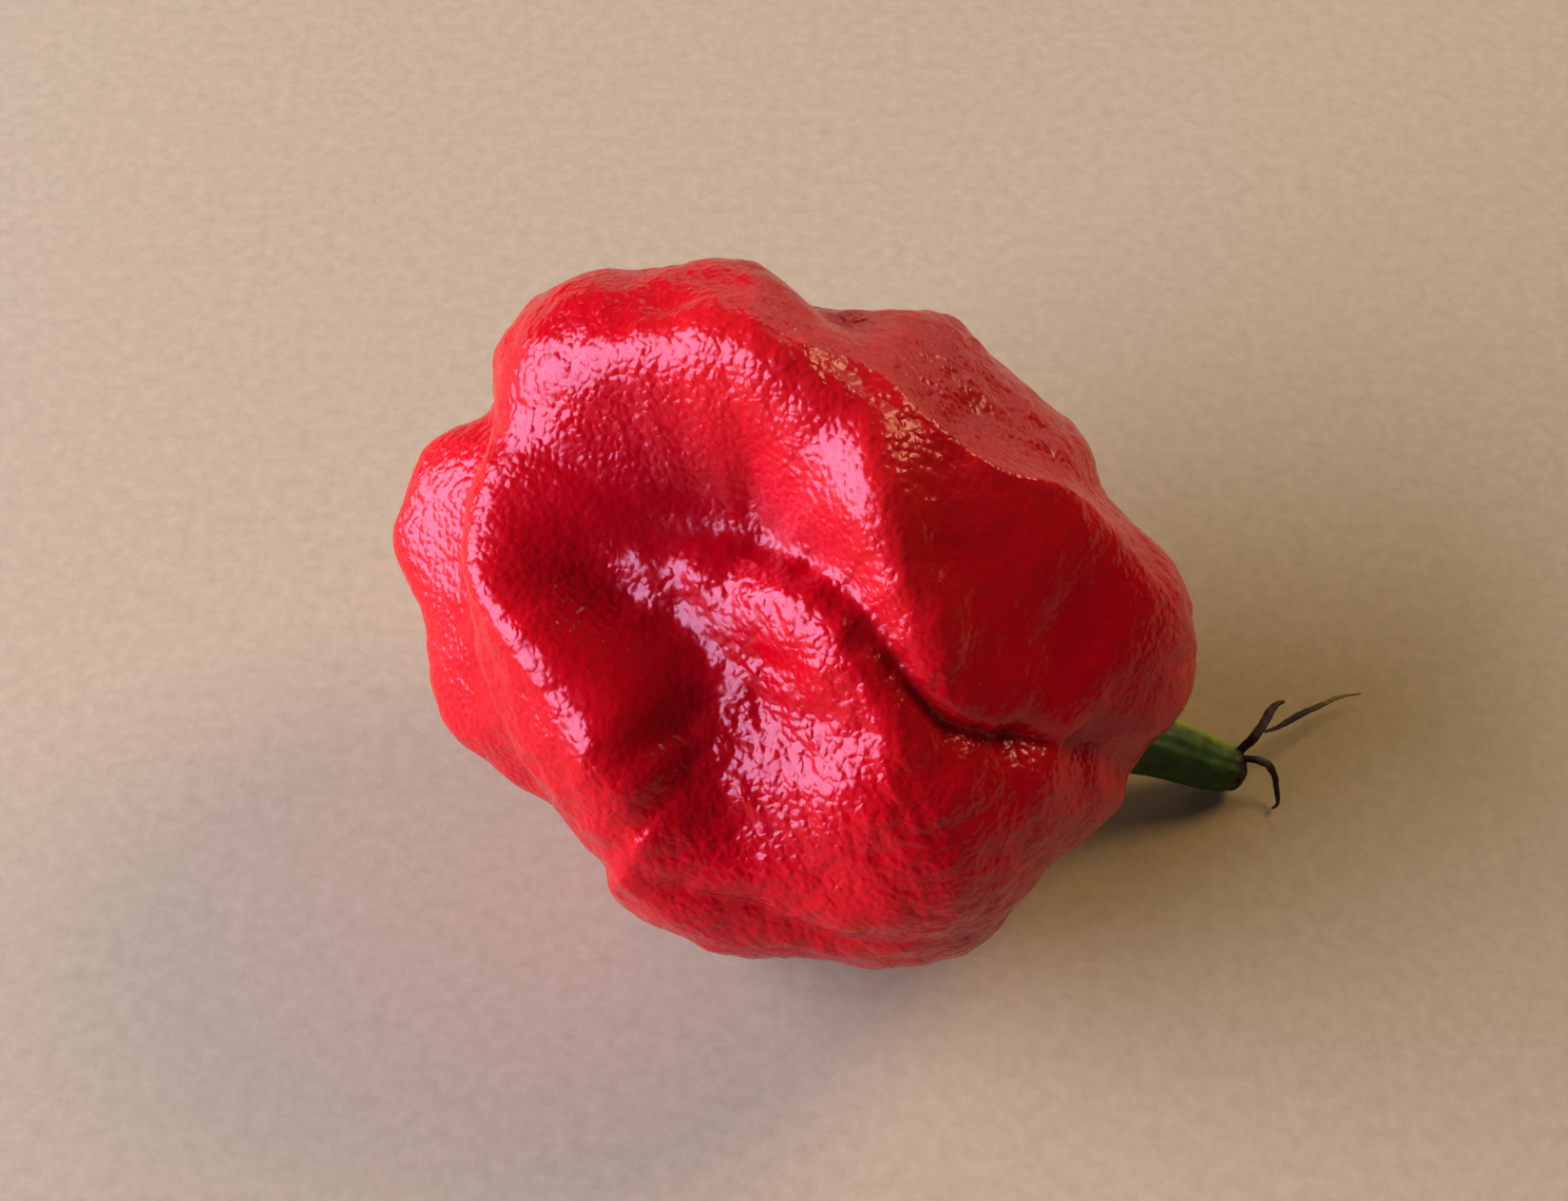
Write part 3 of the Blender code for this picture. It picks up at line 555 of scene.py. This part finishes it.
def chilli_skin():
    mat, tree, shader = new_material("chilli_skin_detail")
    # The red is painted darker in the hollows and creases and a little lighter on the ridges, by fold
    # depth: painted shade.
    depth = add(tree, "ShaderNodeAttribute", attribute_name="fold_depth_shade")
    painted_fold_shade = ramp(tree, depth.outputs["Fac"], [
        (0.0, (0.34, 0.0, 0.008)), (0.45, (0.54, 0.001, 0.012)), (0.8, (0.61, 0.006, 0.014)),
        (1.0, (0.64, 0.014, 0.018))])
    patches = ramp(tree, grain(tree, 170, 3), [(0.3, (0.82, 0.5, 0.8)), (0.7, (1.0, 1.0, 1.0))])
    tree.links.new(mix(tree, 1.0, painted_fold_shade, patches, "MULTIPLY"), shader.inputs["Base Color"])
    shader.inputs["IOR"].default_value = 1.46
    shader.inputs["Specular Tint"].default_value = (1.0, 0.86, 0.98, 1.0)
    shader.inputs["Subsurface Weight"].default_value = 0.2
    shader.inputs["Subsurface Radius"].default_value = (1.0, 0.08, 0.05)
    shader.inputs["Subsurface Scale"].default_value = 0.001
    stones = pebbles(tree, 1900)
    tree.links.new(spread(tree, grain(tree, 800, 3), 0.3, 0.7, 0.17, 0.28), shader.inputs["Roughness"])
    lively = add(tree, "ShaderNodeAttribute", attribute_name="liveliness")
    coarse = bump(tree, grain(tree, 900, 3, 0.55), 1.0, 0.00005)
    fine = bump(tree, stones, 1.0, 0.00007, coarse)
    for part in (coarse, fine):
        tree.links.new(lively.outputs["Fac"], part.node.inputs["Strength"])
    tree.links.new(fine, shader.inputs["Normal"])
    return mat


def stem_skin():
    mat, tree, shader = new_material("stem_detail")
    painted_highlight = add(tree, "ShaderNodeAttribute", attribute_name="painted_highlight_line")
    torn = add(tree, "ShaderNodeAttribute", attribute_name="dried_end")
    green = ramp(tree, grain(tree, 700, 4), [(0.3, (0.012, 0.050, 0.005)), (0.7, (0.040, 0.125, 0.010))])
    # A yellow-green painted highlight along the stem's top, mixed over the green.
    pale = ramp(tree, grain(tree, 900, 3), [(0.35, (0.13, 0.27, 0.012)), (0.65, (0.30, 0.42, 0.03))])
    dark = ramp(tree, grain(tree, 1500, 4), [(0.3, (0.010, 0.006, 0.007)), (0.7, (0.045, 0.025, 0.022))])
    body = mix(tree, painted_highlight.outputs["Fac"], green, pale)
    tree.links.new(mix(tree, torn.outputs["Fac"], body, dark), shader.inputs["Base Color"])
    shader.inputs["Roughness"].default_value = 0.5
    tree.links.new(bump(tree, grain(tree, 1600, 3), 0.5, 0.0001), shader.inputs["Normal"])
    return mat


def dry_fibre():
    mat, tree, shader = new_material("dry_strand_detail")
    green = add(tree, "ShaderNodeAttribute", attribute_name="still_green")
    dark = ramp(tree, grain(tree, 1500, 4), [(0.3, (0.012, 0.006, 0.008)), (0.7, (0.055, 0.030, 0.028))])
    olive = ramp(tree, grain(tree, 1500, 3), [(0.3, (0.10, 0.085, 0.010)), (0.7, (0.28, 0.24, 0.03))])
    tree.links.new(mix(tree, green.outputs["Fac"], dark, olive), shader.inputs["Base Color"])
    shader.inputs["Roughness"].default_value = 0.7
    tree.links.new(bump(tree, grain(tree, 2500, 2), 0.6, 0.0001), shader.inputs["Normal"])
    return mat


def pale_floor():
    mat, tree, shader = new_material("pale_floor")
    card = ramp(tree, grain(tree, 900, 6, 0.7), [(0.25, (0.45, 0.40, 0.25)), (0.75, (0.57, 0.51, 0.33))])
    tree.links.new(card, shader.inputs["Base Color"])
    shader.inputs["Roughness"].default_value = 0.9
    return mat


def add_piece(name, points, faces, mat, node):
    """A piece in the row frame that stands for a CAD node."""
    mesh = bpy.data.meshes.new(name)
    mesh.from_pydata((np.asarray(points) * MM).tolist(), [], faces)
    mesh.materials.append(mat)
    mesh.shade_smooth()
    ob = bpy.data.objects.new(name, mesh)
    bpy.context.scene.collection.objects.link(ob)
    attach(ob, "root")
    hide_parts(node)
    return ob


def soft_panel(name, place, target, size, radiance, colour):
    """A soft rectangular light, given by where it is, its size in metres and how bright its face is."""
    light = bpy.data.lights.new(name, "AREA")
    light.shape = "RECTANGLE"
    light.size, light.size_y = size
    light.energy = radiance * math.pi * size[0] * size[1]
    light.color = colour
    ob = bpy.data.objects.new(name, light)
    bpy.context.scene.collection.objects.link(ob)
    ob.location = place
    ob.rotation_euler = (Vector(target) - Vector(place)).to_track_quat("-Z", "Y").to_euler()


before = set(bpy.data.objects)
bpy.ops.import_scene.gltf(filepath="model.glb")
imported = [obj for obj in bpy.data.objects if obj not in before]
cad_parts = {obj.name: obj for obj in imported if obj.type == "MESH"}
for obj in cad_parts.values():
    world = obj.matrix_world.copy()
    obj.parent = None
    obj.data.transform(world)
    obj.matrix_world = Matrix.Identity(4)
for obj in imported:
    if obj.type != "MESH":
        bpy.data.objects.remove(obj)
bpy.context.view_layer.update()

directions, quads = ball(POD_DIVISIONS)
pod_shape, folds, lively = pod_points(directions)
pod_shape = laid_down(pod_shape)
cad_low, cad_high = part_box("pod")
middle = (np.array(cad_low) + np.array(cad_high)) / 2 / MM
offset = middle - (pod_shape.min(0) + pod_shape.max(0)) / 2
offset[2] = 0.0

skin = BVHTree.FromPolygons([Vector(p * MM) for p in pod_shape], quads)
pod = add_piece("pod_skin", pod_shape + offset, quads, chilli_skin(), "pod")
# Fold depth that sets the painted shade in the pod's hollows and creases.
paint(pod, "fold_depth_shade", np.clip(0.6 + folds / 8, 0, 1))
paint(pod, "liveliness", lively)

stem_points, stem_faces, painted_highlight_line, dried_end = stem_body(skin)
stem = add_piece("stem_and_calyx", stem_points + offset, stem_faces, stem_skin(), "stem")
# The painted highlight along the stem's top, and the dried torn end.
paint(stem, "painted_highlight_line", painted_highlight_line)
paint(stem, "dried_end", dried_end)
fibre = dry_fibre()
noise.seed_set(STRAND_SEED)
for strand_name, strand_line in STRANDS.items():
    strand_points, strand_faces = tube(smooth_line(strand_line, 10), STRAND_FLATNESS, STRAND_TURNS)
    for k, p in enumerate(strand_points):
        strand_points[k] += np.array(noise.noise_vector(Vector(p) / 0.5)) * 0.05
    strand = add_piece(strand_name + "_dry", strand_points + offset, strand_faces, fibre,
                       strand_name)
    paint(strand, "still_green", np.clip((strand_points[:, 0] - GREEN_FROM) / 2.5, 0, 1))

bpy.ops.mesh.primitive_plane_add(size=6.0)
floor = bpy.context.object
floor.name = "floor"
floor.data.materials.append(pale_floor())

roll = Matrix.Rotation(math.radians(ROLL), 4, "X")
aim = roll @ (Vector(CAMERA_AIM) * MM) + Vector((0, 0, CENTRE_HEIGHT * MM)) + Vector(offset * MM)
camera_data = bpy.data.cameras.new("camera")
camera_data.lens = CAMERA_LENS
camera_data.sensor_width = 36.0
camera_data.clip_start = 0.005
camera = bpy.data.objects.new("camera", camera_data)
bpy.context.scene.collection.objects.link(camera)
camera.matrix_world = Matrix.Translation(aim + (roll @ Vector((0, 0, CAMERA_DISTANCE * MM)))) @ roll
bpy.context.scene.camera = camera

soft_panel("window_light", (-0.60, -0.10, 0.27), (0, 0, 0.015), (0.72, 0.54), 8.8, (0.74, 0.70, 1.0))
soft_panel("warm_lamp", (0.52, 0.35, 0.52), (0, 0, 0.015), (0.30, 0.30), 9.5, (1.0, 0.66, 0.34))
soft_panel("back_panel", (0.25, 0.75, 0.30), (0, 0, 0.015), (0.9, 0.5), 0.95, (1.0, 0.84, 0.70))
world = bpy.data.worlds.new("soft_room")
world.use_nodes = True
world.node_tree.nodes["Background"].inputs["Color"].default_value = (0.9, 0.92, 1.0, 1)
world.node_tree.nodes["Background"].inputs["Strength"].default_value = 0.06
bpy.context.scene.world = world
bpy.context.scene.view_settings.view_transform = "Standard"
bpy.context.scene.view_settings.look = "Medium High Contrast"
